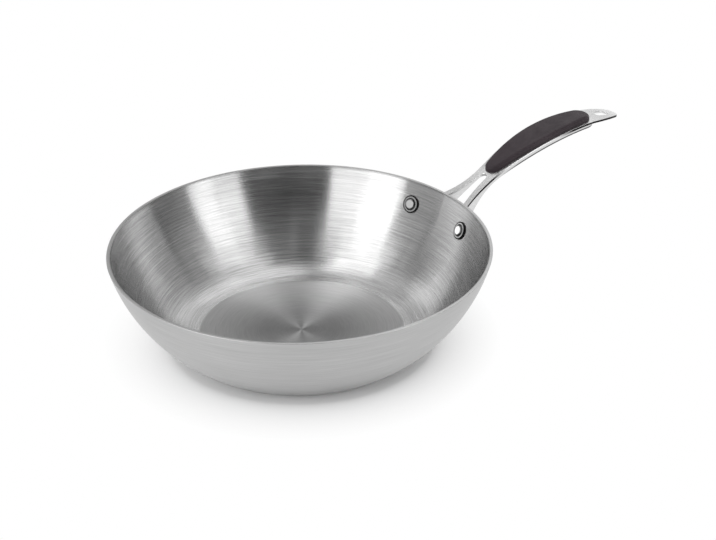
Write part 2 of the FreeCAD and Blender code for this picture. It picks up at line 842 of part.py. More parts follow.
def is_spine_bottom(edge):
    """True for an outline edge of the frame's lower surface, from its tip to the blades' soles."""
    crown = tuple(part.value for part in crown_centre())
    top = size("crown_radius").value - size("plate_thickness").value
    neck = size("neck_radius").value + size("plate_thickness").value
    root = leg_root().value
    for p in spots(edge):
        on_top = abs(away_from(crown, p) - top) < NEAR or abs(away_from(neck_centre(), p) - neck) < NEAR
        if on_top or abs(p.x - root) < NEAR:
            return False
    return runs_along(edge)


def make_top_plate():
    body = new_body("handle_top_plate")
    slab(body, plate_side(body), "plate_slab")
    waste = cut_through(body, plate_waste(body), "plate_plan")
    gap = cut_through(body, fork_gap(body, "plate_fork_gap", NOTHING), "plate_fork")
    mirror(body, [waste, gap], "plate_both_sides")
    eye = cut_through(body, eye_hole(body), "hanging_eye")
    body.Tip = round_edges(body, "plate_rounds", eye, is_plate_top, size("plate_round"))
    peg_holes(body, True)
    clear_the_wall(body, "plate_foot_clearance", size("foot_gap") + size("foot_thickness"))
    return body


def make_frame():
    body = new_body("handle_frame")
    slab(body, spine_side(body), "spine_slab")
    waste = cut_through(body, spine_waste(body), "spine_plan")
    gap = cut_through(body, fork_gap(body, "frame_fork_gap", size("blade_inset")), "frame_fork")
    shaped = mirror(body, [waste, gap], "frame_both_sides")
    body.Tip = round_edges(body, "spine_rounds", shaped, is_spine_bottom, size("spine_round"))
    peg_holes(body, False)
    clear_the_wall(body, "frame_wall_clearance", size("foot_gap"))
    add_feet(body)
    drill_rivet_holes(body)
    return body


def grip_side(body):
    """Side view of the grip: it lies on the plate's crown and is one height thick."""
    sketch = new_sketch(body, "grip_side", "XZ_Plane")
    across, up = crown_centre()
    centre = (across.value, up.value)
    lower = size("crown_radius")
    upper = lower + size("grip_height")
    near = from_rim("grip_out") - size("grip_half_width").times(7)
    far = from_rim("grip_out") + size("grip_half_width").times(5)
    spots = [[on_circle(centre, reach.value, end.value, 1) for end in (near, far)] for reach in (lower, upper)]
    arcs = []
    for reach, (low, high) in zip((lower, upper), spots):
        curve = arc(sketch, centre, reach.value, high, low)
        place(sketch, (curve, CENTRE), across=across, up=up)
        radius(sketch, curve, reach)
        place(sketch, (curve, START), across=far)
        place(sketch, (curve, END), across=near)
        arcs.append(curve)
    for end, spot in ((START, 1), (END, 0)):
        bar = line(sketch, spots[0][spot], spots[1][spot])
        join(sketch, (bar, START), (arcs[0], end))
        join(sketch, (bar, END), (arcs[1], end))
    return sketch


def grip_waste(body):
    """What is cut away beside the grip: a small round front, a long side and a large round back."""
    sketch = new_sketch(body, "grip_waste", "XY_Plane")
    side_radius = size("grip_side_radius")
    side_up = size("grip_half_width") - side_radius
    side_centre = (from_rim("grip_out").value, side_up.value)
    ends = []
    for name, way in (("grip_back_radius", 1), ("grip_front_radius", -1)):
        end_radius = size(name)
        apart = side_radius.value - end_radius.value
        centre = (side_centre[0] + way * tangent_across(side_up.value, 0, apart), 0)
        meet = tuple(s + (e - s) * side_radius.value / apart for s, e in zip(side_centre, centre))
        ends.append((end_radius, centre, meet, (centre[0] + way * end_radius.value, 0)))
    (back_radius, back_centre, back_meet, back_tip), (front_radius, front_centre, front_meet, front_tip) = ends
    back = arc(sketch, back_centre, back_radius.value, back_tip, back_meet)
    side = arc(sketch, side_centre, side_radius.value, back_meet, front_meet)
    front = arc(sketch, front_centre, front_radius.value, front_meet, front_tip)
    for curve, tip, length in ((back, START, back_radius), (front, END, front_radius)):
        on_axis(sketch, (curve, CENTRE), X_AXIS)
        on_axis(sketch, (curve, tip), X_AXIS)
        radius(sketch, curve, length)
    smooth(sketch, (back, END), (side, START))
    smooth(sketch, (side, END), (front, START))
    radius(sketch, side, side_radius)
    place(sketch, (side, CENTRE), across=from_rim("grip_out"), up=side_up)
    edge = size("belly_half_width") + size("stock_margin")
    near = leg_root()
    far = end_of_stock()
    corners = [front_tip, (near.value, 0), (near.value, edge.value), (far.value, edge.value),
               (far.value, 0), back_tip]
    lines = [line(sketch, a, b) for a, b in zip(corners[:-1], corners[1:])]
    join(sketch, (lines[0], START), (front, END))
    for one, two in zip(lines[:-1], lines[1:]):
        join(sketch, (one, END), (two, START))
    join(sketch, (lines[-1], END), (back, START))
    on_axis(sketch, (lines[0], END), X_AXIS)
    on_axis(sketch, (lines[4], START), X_AXIS)
    for number in (1, 3):
        add(sketch, "Vertical", lines[number])
    add(sketch, "Horizontal", lines[2])
    place(sketch, (lines[1], END), across=near, up=edge)
    place(sketch, (lines[3], START), across=far)
    return sketch


def make_grip():
    body = new_body("soft_grip")
    slab(body, grip_side(body), "grip_slab")
    waste = cut_through(body, grip_waste(body), "grip_plan")
    shaped = mirror(body, [waste], "grip_both_sides")
    level = size("crown_radius").value + size("grip_height").value

    def is_upper(edge):
        centre = FreeCAD.Vector(crown_centre()[0].value, 0, crown_centre()[1].value)
        spots = edge.discretize(5)
        away = [math.hypot(p.x - centre.x, p.z - centre.z) for p in spots]
        return all(abs(value - level) < NEAR for value in away)

    body.Tip = round_edges(body, "grip_crown", shaped, is_upper, size("grip_round"))
    for number, across in enumerate(peg_places(), start=1):
        bottom = top_surface(across) - size("plate_thickness").value - size("peg_depth").value
        height = size("plate_thickness").value + size("peg_depth").value + size("grip_height").value / 2
        cylinder(body, "AdditiveCylinder", "peg_%d" % number, FreeCAD.Vector(across, 0, bottom),
                 FreeCAD.Vector(0, 0, 1), size("peg_radius"), height)
    return body


def make_rivet(name, azimuth):
    """A solid rivet: stepped head inside the bowl, shank through wall and foot, formed tail."""
    body = new_body(name)
    sketch = new_sketch(body, name + "_section", "XZ_Plane")
    shank = size("rivet_shank_radius")
    head = size("rivet_head_radius")
    flange = size("rivet_flange_height")
    ring = size("rivet_ring_radius")
    crown = size("rivet_crown_radius")
    top = size("rivet_crown_height")
    tail = size("rivet_tail_radius")
    stack = size("rivet_seat_gap") + size("wall_thickness") + size("foot_gap")
    grip = NOTHING - stack - size("foot_thickness")
    end = grip - size("rivet_tail_height")
    polygon(sketch, [(NOTHING, top), (NOTHING, end), (tail, end), (tail, grip), (shank, grip),
                     (shank, NOTHING), (head, NOTHING), (head, flange), (ring, flange), (crown, top)])
    blank = revolve(body, "Revolution", sketch, name + "_blank")
    levels = ((flange.value, head.value), (top.value, crown.value), (end.value, tail.value))

    def is_outer(edge):
        box = edge.BoundBox
        return any(abs(box.ZMin - up) < NEAR and box.ZLength < NEAR and abs(box.XMax - wide) < NEAR
                   for up, wide in levels)

    body.Tip = round_edges(body, name + "_rounds", blank, is_outer, size("rivet_round"))
    seat, outward = wall_point(size("wall_thickness").value, size("rivet_drop").value, azimuth)
    base = seat - outward * size("rivet_seat_gap").value
    body.Placement = FreeCAD.Placement(base, FreeCAD.Rotation(FreeCAD.Vector(0, 0, 1), outward * -1))
    return body


# ---------------------------------------------------------------- the whole object

def check(parts):
    doc.recompute()
    for item in doc.Objects:
        if "Invalid" in item.State or "Error" in item.State:
            raise RuntimeError("%s is %s" % (item.Name, item.State))
    for part in parts:
        if part.Shape.isNull() or not part.Shape.isValid():
            raise RuntimeError("%s has no valid shape" % part.Label)


def write(parts):
    os.makedirs("parts", exist_ok=True)
    for part in parts:
        part.Shape.exportStep("parts/%s.step" % part.Label)
        print("%-18s %2d solids %10.1f mm3" % (part.Label, len(part.Shape.Solids), part.Shape.Volume))


left, right = rivet_azimuths()
made = [
    make_outer_skin(),
    make_core(),
    make_inner_skin(),
    make_top_plate(),
    make_frame(),
    make_grip(),
    make_rivet("left_rivet", left),
    make_rivet("right_rivet", right),
]
check(made)
write(made)
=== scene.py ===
import math
import bmesh
import bpy
from mathutils import Matrix, Vector

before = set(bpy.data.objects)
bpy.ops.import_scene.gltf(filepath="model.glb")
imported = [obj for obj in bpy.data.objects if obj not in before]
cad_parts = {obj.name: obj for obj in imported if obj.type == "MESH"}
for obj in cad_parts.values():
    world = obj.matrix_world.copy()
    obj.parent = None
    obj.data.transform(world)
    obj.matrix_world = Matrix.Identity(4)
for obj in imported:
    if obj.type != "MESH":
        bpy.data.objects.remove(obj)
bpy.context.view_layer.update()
print("frame loaded:", ", ".join(sorted(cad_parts)))


# helpers for node trees

def addNode(tree, kind, values=None, **settings):
    node = tree.nodes.new(kind)
    for name, value in settings.items():
        setattr(node, name, value)
    for socket, value in (values or {}).items():
        node.inputs[socket].default_value = value
    return node


def wire(tree, source, target):
    tree.links.new(source, target)


def newGroup(name, inputs, outputs):
    group = bpy.data.node_groups.new(name, "ShaderNodeTree")
    for label, value in inputs.items():
        kind = "NodeSocketVector" if isinstance(value, tuple) else "NodeSocketFloat"
        socket = group.interface.new_socket(name=label, in_out="INPUT", socket_type=kind)
        socket.default_value = value
    for label in outputs:
        group.interface.new_socket(name=label, in_out="OUTPUT", socket_type="NodeSocketFloat")
    return group, group.nodes.new("NodeGroupInput"), group.nodes.new("NodeGroupOutput")


def useGroup(tree, group, values):
    node = tree.nodes.new("ShaderNodeGroup")
    node.node_tree = group
    for socket, value in values.items():
        node.inputs[socket].default_value = value
    return node


def newMaterial(name):
    material = bpy.data.materials.new(name)
    material.use_nodes = True
    tree = material.node_tree
    tree.nodes.clear()
    shader = addNode(tree, "ShaderNodeBsdfPrincipled")
    output = addNode(tree, "ShaderNodeOutputMaterial")
    wire(tree, shader.outputs["BSDF"], output.inputs["Surface"])
    return material, tree, shader


def mixColours(tree, factor, low, high):
    mix = addNode(tree, "ShaderNodeMix", data_type="RGBA")
    mix.inputs["A"].default_value = (*low, 1)
    mix.inputs["B"].default_value = (*high, 1)
    wire(tree, factor, mix.inputs["Factor"])
    return mix.outputs["Result"]


def mapRange(tree, value, low, high, start=0.0, end=1.0):
    node = addNode(tree, "ShaderNodeMapRange",
                   {"From Min": start, "From Max": end, "To Min": low, "To Max": high})
    wire(tree, value, node.inputs["Value"])
    return node.outputs["Result"]


# camera and stage

cameraSettings = {
    "place": (-0.95524, -1.29093, 0.91234),
    "aim": (0.03769, -0.02004, 0.05),
    "roll": -0.737,                 # degrees
    "lens": 125.7,                  # millimetres, as the next
    "sensorWidth": 36,
}

stageSettings = {
    "floorSize": 40.0,
    "floorDrop": 0.0003,            # the base stands just clear of it
    "floorColour": (0.90, 0.90, 0.90),
    "paperFade": (0.098, 0.146),    # the lit paper turns plain white between these distances
    "fadePower": 0.5,               # under 1, most of the fade is near the bowl
    "underBase": 0.40,              # paper hidden under the base, pale so that the base shows from below
    "baseReach": (0.082, 0.0875),
    "horizonColour": (0.90, 0.90, 0.90),
    "domeColour": (0.02, 0.02, 0.02),
    "horizonTop": (0.06, 0.11),     # sine of the height where the pale horizon ends
}

# softboxes stand in four rings round the table: (azimuth, width) in degrees and brightness;
# the brightness values were made by a separate least-squares fitting script, not set by hand
softboxes = {
    "distance": 2.2,
    "aimHeight": 0.04,
    "leastNarrowing": 0.39,         # panels get narrower up the dome, but no narrower than this
    "rings": (
        {"name": "low", "elevation": 10.5, "height": 19, "panels": (
            (-184.2, 24.5, 3.00), (-159.8, 24.5, 2.27), (-80.8, 17.5, 1.45), (-63.2, 17.5, 2.42),
            (-39.8, 29.5, 0.10), (-14.2, 21.5, 0.89), (10.8, 28.5, 1.13), (39, 28, 0.68),
            (93.5, 27, 0.38), (121, 28, 1.01), (149.2, 28.5, 0.58))},
        {"name": "middle", "elevation": 30, "height": 20, "panels": (
            (-184.2, 24.5, 3.38), (-159.8, 24.5, 2.16), (-80.8, 17.5, 2.39), (-63.2, 17.5, 2.74),
            (-39.8, 29.5, 0.53), (-14.2, 21.5, 0.37), (10.8, 28.5, 0.63), (39, 28, 1.31),
            (66.5, 27, 0.67), (93.5, 27, 1.36), (121, 28, 0.35), (149.2, 28.5, 0.59))},
        {"name": "high", "elevation": 50, "height": 20, "panels": (
            (-184.2, 24.5, 2.20), (-159.8, 24.5, 1.48), (-133, 29, 0.33), (-104, 29, 0.18),
            (-80.8, 17.5, 1.00), (-63.2, 17.5, 1.51), (-39.8, 29.5, 1.47), (-14.2, 21.5, 0.40),
            (10.8, 28.5, 0.52), (39, 28, 2.13), (66.5, 27, 0.56), (93.5, 27, 1.05),
            (121, 28, 0.66), (149.2, 28.5, 2.01))},
        {"name": "top", "elevation": 69, "height": 18, "panels": (
            (-172, 50, 0.57), (-100, 50, 0.42), (-40, 50, 1.35), (20, 50, 0.88), (60, 50, 1.13),
            (110, 50, 2.45), (150, 50, 0.78))},
    ),
}


def addCamera(settings):
    camera = bpy.data.objects.new("camera", bpy.data.cameras.new("camera"))
    bpy.context.scene.collection.objects.link(camera)
    place = Vector(settings["place"])
    turn = (Vector(settings["aim"]) - place).to_track_quat("-Z", "Y").to_matrix().to_4x4()
    roll = Matrix.Rotation(math.radians(settings["roll"]), 4, "Z")
    camera.matrix_world = Matrix.Translation(place) @ turn @ roll
    camera.data.lens = settings["lens"]
    camera.data.sensor_width = settings["sensorWidth"]
    bpy.context.scene.camera = camera


def addSoftbox(settings, name, azimuth, elevation, width, height, glow):
    lamp = bpy.data.lights.new(name, "AREA")
    lamp.shape = "RECTANGLE"
    lamp.size, lamp.size_y = width, height
    lamp.energy = glow * math.pi * width * height
    holder = bpy.data.objects.new(name, lamp)
    bpy.context.scene.collection.objects.link(holder)
    across, up = math.radians(azimuth), math.radians(elevation)
    away = Vector((math.cos(up) * math.cos(across), math.cos(up) * math.sin(across), math.sin(up)))
    turn = (-away).to_track_quat("-Z", "Y").to_matrix().to_4x4()
    aim = Vector((0, 0, settings["aimHeight"]))
    holder.matrix_world = Matrix.Translation(away * settings["distance"] + aim) @ turn
    holder.visible_camera = False


def addSoftboxes(settings):
    across = 2 * settings["distance"]
    for ring in settings["rings"]:
        height = across * math.tan(math.radians(ring["height"] / 2))
        narrowing = max(math.cos(math.radians(ring["elevation"])), settings["leastNarrowing"])
        for number, (azimuth, spread, glow) in enumerate(ring["panels"]):
            width = across * math.tan(math.radians(spread / 2)) * narrowing
            addSoftbox(settings, "%sSoftbox%d" % (ring["name"], number), azimuth, ring["elevation"],
                       width, height, glow)


def paperMaterial(settings):
    material = bpy.data.materials.new("palePaper")
    material.use_nodes = True
    tree = material.node_tree
    tree.nodes.clear()
    # the eye, the steel and anything clear see the white; the light on the object doesn't
    rays = addNode(tree, "ShaderNodeLightPath")
    seen = rays.outputs["Is Camera Ray"]
    for kind in ("Is Glossy Ray", "Is Transmission Ray"):
        most = addNode(tree, "ShaderNodeMath", operation="MAXIMUM")
        wire(tree, seen, most.inputs[0])
        wire(tree, rays.outputs[kind], most.inputs[1])
        seen = most.outputs["Value"]
    place = addNode(tree, "ShaderNodeTexCoord")
    reach = addNode(tree, "ShaderNodeVectorMath", operation="LENGTH")
    wire(tree, place.outputs["Object"], reach.inputs[0])
    far = mapRange(tree, reach.outputs["Value"], 0, 1, *settings["paperFade"])
    fade = addNode(tree, "ShaderNodeMath", {1: settings["fadePower"]}, operation="POWER")
    wire(tree, far, fade.inputs[0])
    hidden = mapRange(tree, reach.outputs["Value"], settings["underBase"], 0, *settings["baseReach"])
    pale = addNode(tree, "ShaderNodeMath", operation="MAXIMUM")
    wire(tree, fade.outputs["Value"], pale.inputs[0])
    wire(tree, hidden, pale.inputs[1])
    share = addNode(tree, "ShaderNodeMath", operation="MULTIPLY")
    wire(tree, seen, share.inputs[0])
    wire(tree, pale.outputs["Value"], share.inputs[1])
    paper = addNode(tree, "ShaderNodeBsdfDiffuse", {"Color": (*settings["floorColour"], 1)})
    white = addNode(tree, "ShaderNodeEmission", {"Strength": 1})
    both = addNode(tree, "ShaderNodeMixShader")
    wire(tree, share.outputs["Value"], both.inputs["Fac"])
    wire(tree, paper.outputs["BSDF"], both.inputs[1])
    wire(tree, white.outputs["Emission"], both.inputs[2])
    # from below the paper isn't there, so that the underside shows
    side = addNode(tree, "ShaderNodeNewGeometry")
    clear = addNode(tree, "ShaderNodeBsdfTransparent")
    oneSided = addNode(tree, "ShaderNodeMixShader")
    wire(tree, side.outputs["Backfacing"], oneSided.inputs["Fac"])
    wire(tree, both.outputs["Shader"], oneSided.inputs[1])
    wire(tree, clear.outputs["BSDF"], oneSided.inputs[2])
    output = addNode(tree, "ShaderNodeOutputMaterial")
    wire(tree, oneSided.outputs["Shader"], output.inputs["Surface"])
    return material


def addFloor(settings):
    shape = bmesh.new()
    bmesh.ops.create_grid(shape, x_segments=1, y_segments=1, size=settings["floorSize"] / 2)
    bmesh.ops.translate(shape, verts=shape.verts, vec=(0, 0, -settings["floorDrop"]))
    mesh = bpy.data.meshes.new("floor")
    shape.to_mesh(mesh)
    shape.free()
    mesh.materials.append(paperMaterial(settings))
    floor = bpy.data.objects.new("floor", mesh)
    bpy.context.scene.collection.objects.link(floor)


def addDome(settings):
    # a pale horizon under a dark ceiling, so that the steel shows the softboxes as bands
    world = bpy.data.worlds.new("studioDome")
    bpy.context.scene.world = world
    world.use_nodes = True
    tree = world.node_tree
    tree.nodes.clear()
    place = addNode(tree, "ShaderNodeTexCoord")
    parts = addNode(tree, "ShaderNodeSeparateXYZ")
    wire(tree, place.outputs["Generated"], parts.inputs["Vector"])
    start, end = settings["horizonTop"]
    height = mapRange(tree, parts.outputs["Z"], 0, 1, start, end)
    colour = mixColours(tree, height, settings["horizonColour"], settings["domeColour"])
    background = addNode(tree, "ShaderNodeBackground")
    wire(tree, colour, background.inputs["Color"])
    output = addNode(tree, "ShaderNodeOutputWorld")
    wire(tree, background.outputs["Background"], output.inputs["Surface"])


bpy.context.scene.view_settings.view_transform = "Standard"
addCamera(cameraSettings)
addFloor(stageSettings)
addDome(stageSettings)
addSoftboxes(softboxes)
print("camera, floor and softboxes placed")


# finishes that several materials share

noiseSpan = (0.3, 0.7)      # nearly all of a noise texture's values lie between these


def makeTurnedLines():
    # fine rings left by polishing on a lathe, about the Z axis
    group, given, result = newGroup(
        "turnedLines", {"Rings Per Metre": 4000, "Ring Length": 4, "Detail": 3}, ["Rings"])
    place = addNode(group, "ShaderNodeTexCoord")
    flat = addNode(group, "ShaderNodeVectorMath", operation="MULTIPLY")
    flat.inputs[1].default_value = (1, 1, 0)
    wire(group, place.outputs["Object"], flat.inputs[0])
    reach = addNode(group, "ShaderNodeVectorMath", operation="LENGTH")
    wire(group, flat.outputs["Vector"], reach.inputs[0])
    parts = addNode(group, "ShaderNodeSeparateXYZ")
    wire(group, place.outputs["Object"], parts.inputs["Vector"])
    along = addNode(group, "ShaderNodeMath", operation="ADD")      # grows from the centre up the wall
    wire(group, reach.outputs["Value"], along.inputs[0])
    wire(group, parts.outputs["Z"], along.inputs[1])
    rings = addNode(group, "ShaderNodeMath", operation="MULTIPLY")
    wire(group, along.outputs["Value"], rings.inputs[0])
    wire(group, given.outputs["Rings Per Metre"], rings.inputs[1])
    heading = addNode(group, "ShaderNodeVectorMath", operation="NORMALIZE")
    wire(group, flat.outputs["Vector"], heading.inputs[0])
    spread = addNode(group, "ShaderNodeVectorMath", operation="SCALE")
    wire(group, heading.outputs["Vector"], spread.inputs[0])
    wire(group, given.outputs["Ring Length"], spread.inputs["Scale"])
    around = addNode(group, "ShaderNodeSeparateXYZ")
    wire(group, spread.outputs["Vector"], around.inputs["Vector"])
    joined = addNode(group, "ShaderNodeCombineXYZ")
    wire(group, around.outputs["X"], joined.inputs["X"])
    wire(group, around.outputs["Y"], joined.inputs["Y"])
    wire(group, rings.outputs["Value"], joined.inputs["Z"])
    noise = addNode(group, "ShaderNodeTexNoise", {"Scale": 1.0, "Roughness": 0.6})
    wire(group, joined.outputs["Vector"], noise.inputs["Vector"])
    wire(group, given.outputs["Detail"], noise.inputs["Detail"])
    wire(group, noise.outputs["Fac"], result.inputs["Rings"])
    return group


def makeBrushedLines():
    # straight hairlines along X
    group, given, result = newGroup(
        "brushedLines", {"Lines Per Metre": 3500, "Lines Along": 30, "Detail": 3}, ["Lines"])
    place = addNode(group, "ShaderNodeTexCoord")
    scale = addNode(group, "ShaderNodeCombineXYZ")
    wire(group, given.outputs["Lines Along"], scale.inputs["X"])
    wire(group, given.outputs["Lines Per Metre"], scale.inputs["Y"])
    wire(group, given.outputs["Lines Per Metre"], scale.inputs["Z"])
    stretched = addNode(group, "ShaderNodeVectorMath", operation="MULTIPLY")
    wire(group, place.outputs["Object"], stretched.inputs[0])
    wire(group, scale.outputs["Vector"], stretched.inputs[1])
    noise = addNode(group, "ShaderNodeTexNoise", {"Scale": 1.0, "Roughness": 0.6})
    wire(group, stretched.outputs["Vector"], noise.inputs["Vector"])
    wire(group, given.outputs["Detail"], noise.inputs["Detail"])
    wire(group, noise.outputs["Fac"], result.inputs["Lines"])
    return group


def makeHandling():
    # soft clouds where cloths and hands have dulled or cleaned the surface
    group, given, result = newGroup("handling", {"Patches Per Metre": 30, "Detail": 4}, ["Dulling"])
    place = addNode(group, "ShaderNodeTexCoord")
    noise = addNode(group, "ShaderNodeTexNoise", {"Roughness": 0.55, "Distortion": 0.4})
    wire(group, place.outputs["Object"], noise.inputs["Vector"])
    wire(group, given.outputs["Patches Per Metre"], noise.inputs["Scale"])
    wire(group, given.outputs["Detail"], noise.inputs["Detail"])
    wire(group, mapRange(group, noise.outputs["Fac"], 0, 1, *noiseSpan), result.inputs["Dulling"])
    return group


def makeRoundMask():
    # a disc and a thin ring about the Z axis of the place it is given; both fade out over their width
    fullShare = 0.3     # of the ring's width on each side
    group, given, result = newGroup(
        "roundMask", {"Place": (0.0, 0.0, 0.0), "Radius": 0.01, "Width": 0.001}, ["Inside", "Ring"])
    flat = addNode(group, "ShaderNodeVectorMath", operation="MULTIPLY")
    flat.inputs[1].default_value = (1, 1, 0)
    wire(group, given.outputs["Place"], flat.inputs[0])
    reach = addNode(group, "ShaderNodeVectorMath", operation="LENGTH")
    wire(group, flat.outputs["Vector"], reach.inputs[0])
    past = addNode(group, "ShaderNodeMath", operation="SUBTRACT")
    wire(group, reach.outputs["Value"], past.inputs[0])
    wire(group, given.outputs["Radius"], past.inputs[1])
    share = addNode(group, "ShaderNodeMath", operation="DIVIDE")
    wire(group, past.outputs["Value"], share.inputs[0])
    wire(group, given.outputs["Width"], share.inputs[1])
    wire(group, mapRange(group, share.outputs["Value"], 1, 0, -1, 1), result.inputs["Inside"])
    size = addNode(group, "ShaderNodeMath", operation="ABSOLUTE")
    wire(group, share.outputs["Value"], size.inputs[0])
    wire(group, mapRange(group, size.outputs["Value"], 1, 0, fullShare, 1), result.inputs["Ring"])
    return group


def makeOuterEdge():
    # tells the upright edge that runs round a plate from those inside its fork and its hole: it is one that
    # faces away from the plate's middle line, by more than the lesser of these two
    outward = (0.1, 0.3)
    group, given, result = newGroup("outerEdge", {"Start": 0.7, "End": 0.97}, ["Edge"])
    place = addNode(group, "ShaderNodeTexCoord")
    heading = addNode(group, "ShaderNodeSeparateXYZ")
    wire(group, place.outputs["Normal"], heading.inputs["Vector"])
    parts = addNode(group, "ShaderNodeSeparateXYZ")
    wire(group, place.outputs["Object"], parts.inputs["Vector"])
    side = addNode(group, "ShaderNodeMath", operation="SIGN")
    wire(group, parts.outputs["Y"], side.inputs[0])
    away = addNode(group, "ShaderNodeMath", operation="MULTIPLY")
    wire(group, heading.outputs["Y"], away.inputs[0])
    wire(group, side.outputs["Value"], away.inputs[1])
    lean = addNode(group, "ShaderNodeMath", operation="ABSOLUTE")
    wire(group, heading.outputs["Z"], lean.inputs[0])
    upright = addNode(group, "ShaderNodeMapRange", {"To Min": 1, "To Max": 0})
    wire(group, lean.outputs["Value"], upright.inputs["Value"])
    wire(group, given.outputs["Start"], upright.inputs["From Min"])
    wire(group, given.outputs["End"], upright.inputs["From Max"])
    both = addNode(group, "ShaderNodeMath", operation="MULTIPLY")
    wire(group, upright.outputs["Result"], both.inputs[0])
    wire(group, mapRange(group, away.outputs["Value"], 0, 1, *outward), both.inputs[1])
    wire(group, both.outputs["Value"], result.inputs["Edge"])
    return group


turnedLines = makeTurnedLines()
brushedLines = makeBrushedLines()
handling = makeHandling()
roundMask = makeRoundMask()
outerEdge = makeOuterEdge()


def addBump(tree, shader, height, strength, distance):
    bump = addNode(tree, "ShaderNodeBump", {"Strength": strength, "Distance": distance})
    wire(tree, height, bump.inputs["Height"])
    wire(tree, bump.outputs["Normal"], shader.inputs["Normal"])


def steelFinish(name, look, lines, lineSocket, lineValues):
    # metal whose hairlines tint it, roughen it and catch the light
    material, tree, shader = newMaterial(name)
    shader.inputs["Metallic"].default_value = 1
    hair = useGroup(tree, lines, lineValues)
    cloud = useGroup(tree, handling, {"Patches Per Metre": look["patches"]})
    strand = mapRange(tree, hair.outputs[lineSocket], 0, 1, *noiseSpan)
    wire(tree, mixColours(tree, strand, look["dark"], look["light"]), shader.inputs["Base Color"])
    gloss = mapRange(tree, strand, *look["roughness"])
    dull = addNode(tree, "ShaderNodeMath", {1: look["dulling"]}, operation="MULTIPLY_ADD")
    wire(tree, cloud.outputs["Dulling"], dull.inputs[0])
    wire(tree, gloss, dull.inputs[2])
    wire(tree, dull.outputs["Value"], shader.inputs["Roughness"])
    addBump(tree, shader, hair.outputs[lineSocket], look["bump"], look["depth"])
    if "anisotropy" in look:
        shader.inputs["Anisotropic"].default_value = look["anisotropy"]
        shader.inputs["Anisotropic Rotation"].default_value = look["turn"]
        tangent = addNode(tree, "ShaderNodeTangent", direction_type="RADIAL", axis=look["axis"])
        wire(tree, tangent.outputs["Tangent"], shader.inputs["Tangent"])
    return material, tree, shader


def overlay(tree, shader, mask, share, colour, roughness):
    # a second finish, painted shade or painted highlight over the first, where the mask is white; its
    # roughness takes over there, and its colour by its share
    part = addNode(tree, "ShaderNodeMath", {1: share}, operation="MULTIPLY")
    wire(tree, mask, part.inputs[0])
    under = shader.inputs["Base Color"].links[0].from_socket
    mix = addNode(tree, "ShaderNodeMix", data_type="RGBA")
    mix.inputs["B"].default_value = (*colour, 1)
    wire(tree, part.outputs["Value"], mix.inputs["Factor"])
    wire(tree, under, mix.inputs["A"])
    wire(tree, mix.outputs["Result"], shader.inputs["Base Color"])
    rough = addNode(tree, "ShaderNodeMix", data_type="FLOAT")
    wire(tree, mask, rough.inputs["Factor"])
    wire(tree, shader.inputs["Roughness"].links[0].from_socket, rough.inputs["A"])
    rough.inputs["B"].default_value = roughness
    wire(tree, rough.outputs["Result"], shader.inputs["Roughness"])


def dress(node, material):
    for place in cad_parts[node].material_slots:
        place.material = material


# the bowl, three layers

bowlLines = {"Rings Per Metre": 1300, "Ring Length": 3, "Detail": 4}
bowlLooks = {
    "inner_skin": {"dark": (0.36, 0.36, 0.36), "light": (0.60, 0.60, 0.60), "roughness": (0.20, 0.26),
                   "dulling": 0.02, "patches": 22, "bump": 0.19, "depth": 0.0001,
                   "anisotropy": 1.0, "turn": 0.25, "axis": "Z"},
    "outer_skin": {"dark": (0.43, 0.43, 0.43), "light": (0.55, 0.55, 0.55), "roughness": (0.38, 0.46),
                   "dulling": 0.05, "patches": 18, "bump": 0.12, "depth": 0.0001,
                   "anisotropy": 0.5, "turn": 0.25, "axis": "Z"},
    "aluminium_core": {"dark": (0.38, 0.38, 0.38), "light": (0.48, 0.48, 0.48), "roughness": (0.30, 0.40),
                       "dulling": 0.05, "patches": 30, "bump": 0.1, "depth": 0.0001,
                       "anisotropy": 0.4, "turn": 0.25, "axis": "Z"},
}

# the flat floor is duller than the wall, its middle darkened as a painted dark reflection, with a smoother
# line at its edge lightened as a painted highlight, and the rim's inner lip painted dark as shade: mask,
# radius, softness, share of colour, colour, roughness
floorFinishesAndPaintedLight = (
    ("Inside", 0.0750, 0.0016, 0.55, (0.66, 0.66, 0.66), 0.86),
    # painted dark reflection: the middle of the floor is darkened
    ("Inside", 0.0480, 0.0220, 0.65, (0.20, 0.20, 0.20), 0.95),
    ("Inside", 0.0090, 0.0060, 0.00, (0.50, 0.50, 0.50), 0.70),     # the centre keeps its turned shine
    # a smoother line at the floor's edge, lightened as a painted highlight in the corner
    ("Ring", 0.0775, 0.0034, 0.25, (0.72, 0.72, 0.72), 0.26),
    # painted shade: a near-black line along the rim's inner lip
    ("Ring", 0.1377, 0.0008, 0.45, (0.05, 0.05, 0.05), 0.30),
)

for node, look in bowlLooks.items():
    steel, tree, shader = steelFinish(node + "Steel", look, turnedLines, "Rings", bowlLines)
    if node == "inner_skin":
        place = addNode(tree, "ShaderNodeTexCoord")
        for mask, radius, softness, share, colour, roughness in floorFinishesAndPaintedLight:
            disc = useGroup(tree, roundMask, {"Radius": radius, "Width": softness})
            wire(tree, place.outputs["Object"], disc.inputs["Place"])
            overlay(tree, shader, disc.outputs[mask], share, colour, roughness)
    dress(node, steel)
print("bowl finished")


# the handle, two steels and two rivets

handleLines = {"Lines Per Metre": 2500, "Lines Along": 40, "Detail": 3}
handleLooks = {
    "handle_frame": {"dark": (0.62, 0.62, 0.62), "light": (0.76, 0.76, 0.76), "roughness": (0.20, 0.28),
                     "dulling": 0.05, "patches": 40, "bump": 0.05, "depth": 0.0001},
    "handle_top_plate": {"dark": (0.62, 0.62, 0.62), "light": (0.76, 0.76, 0.76), "roughness": (0.20, 0.28),
                         "dulling": 0.05, "patches": 40, "bump": 0.04, "depth": 0.0001},
}
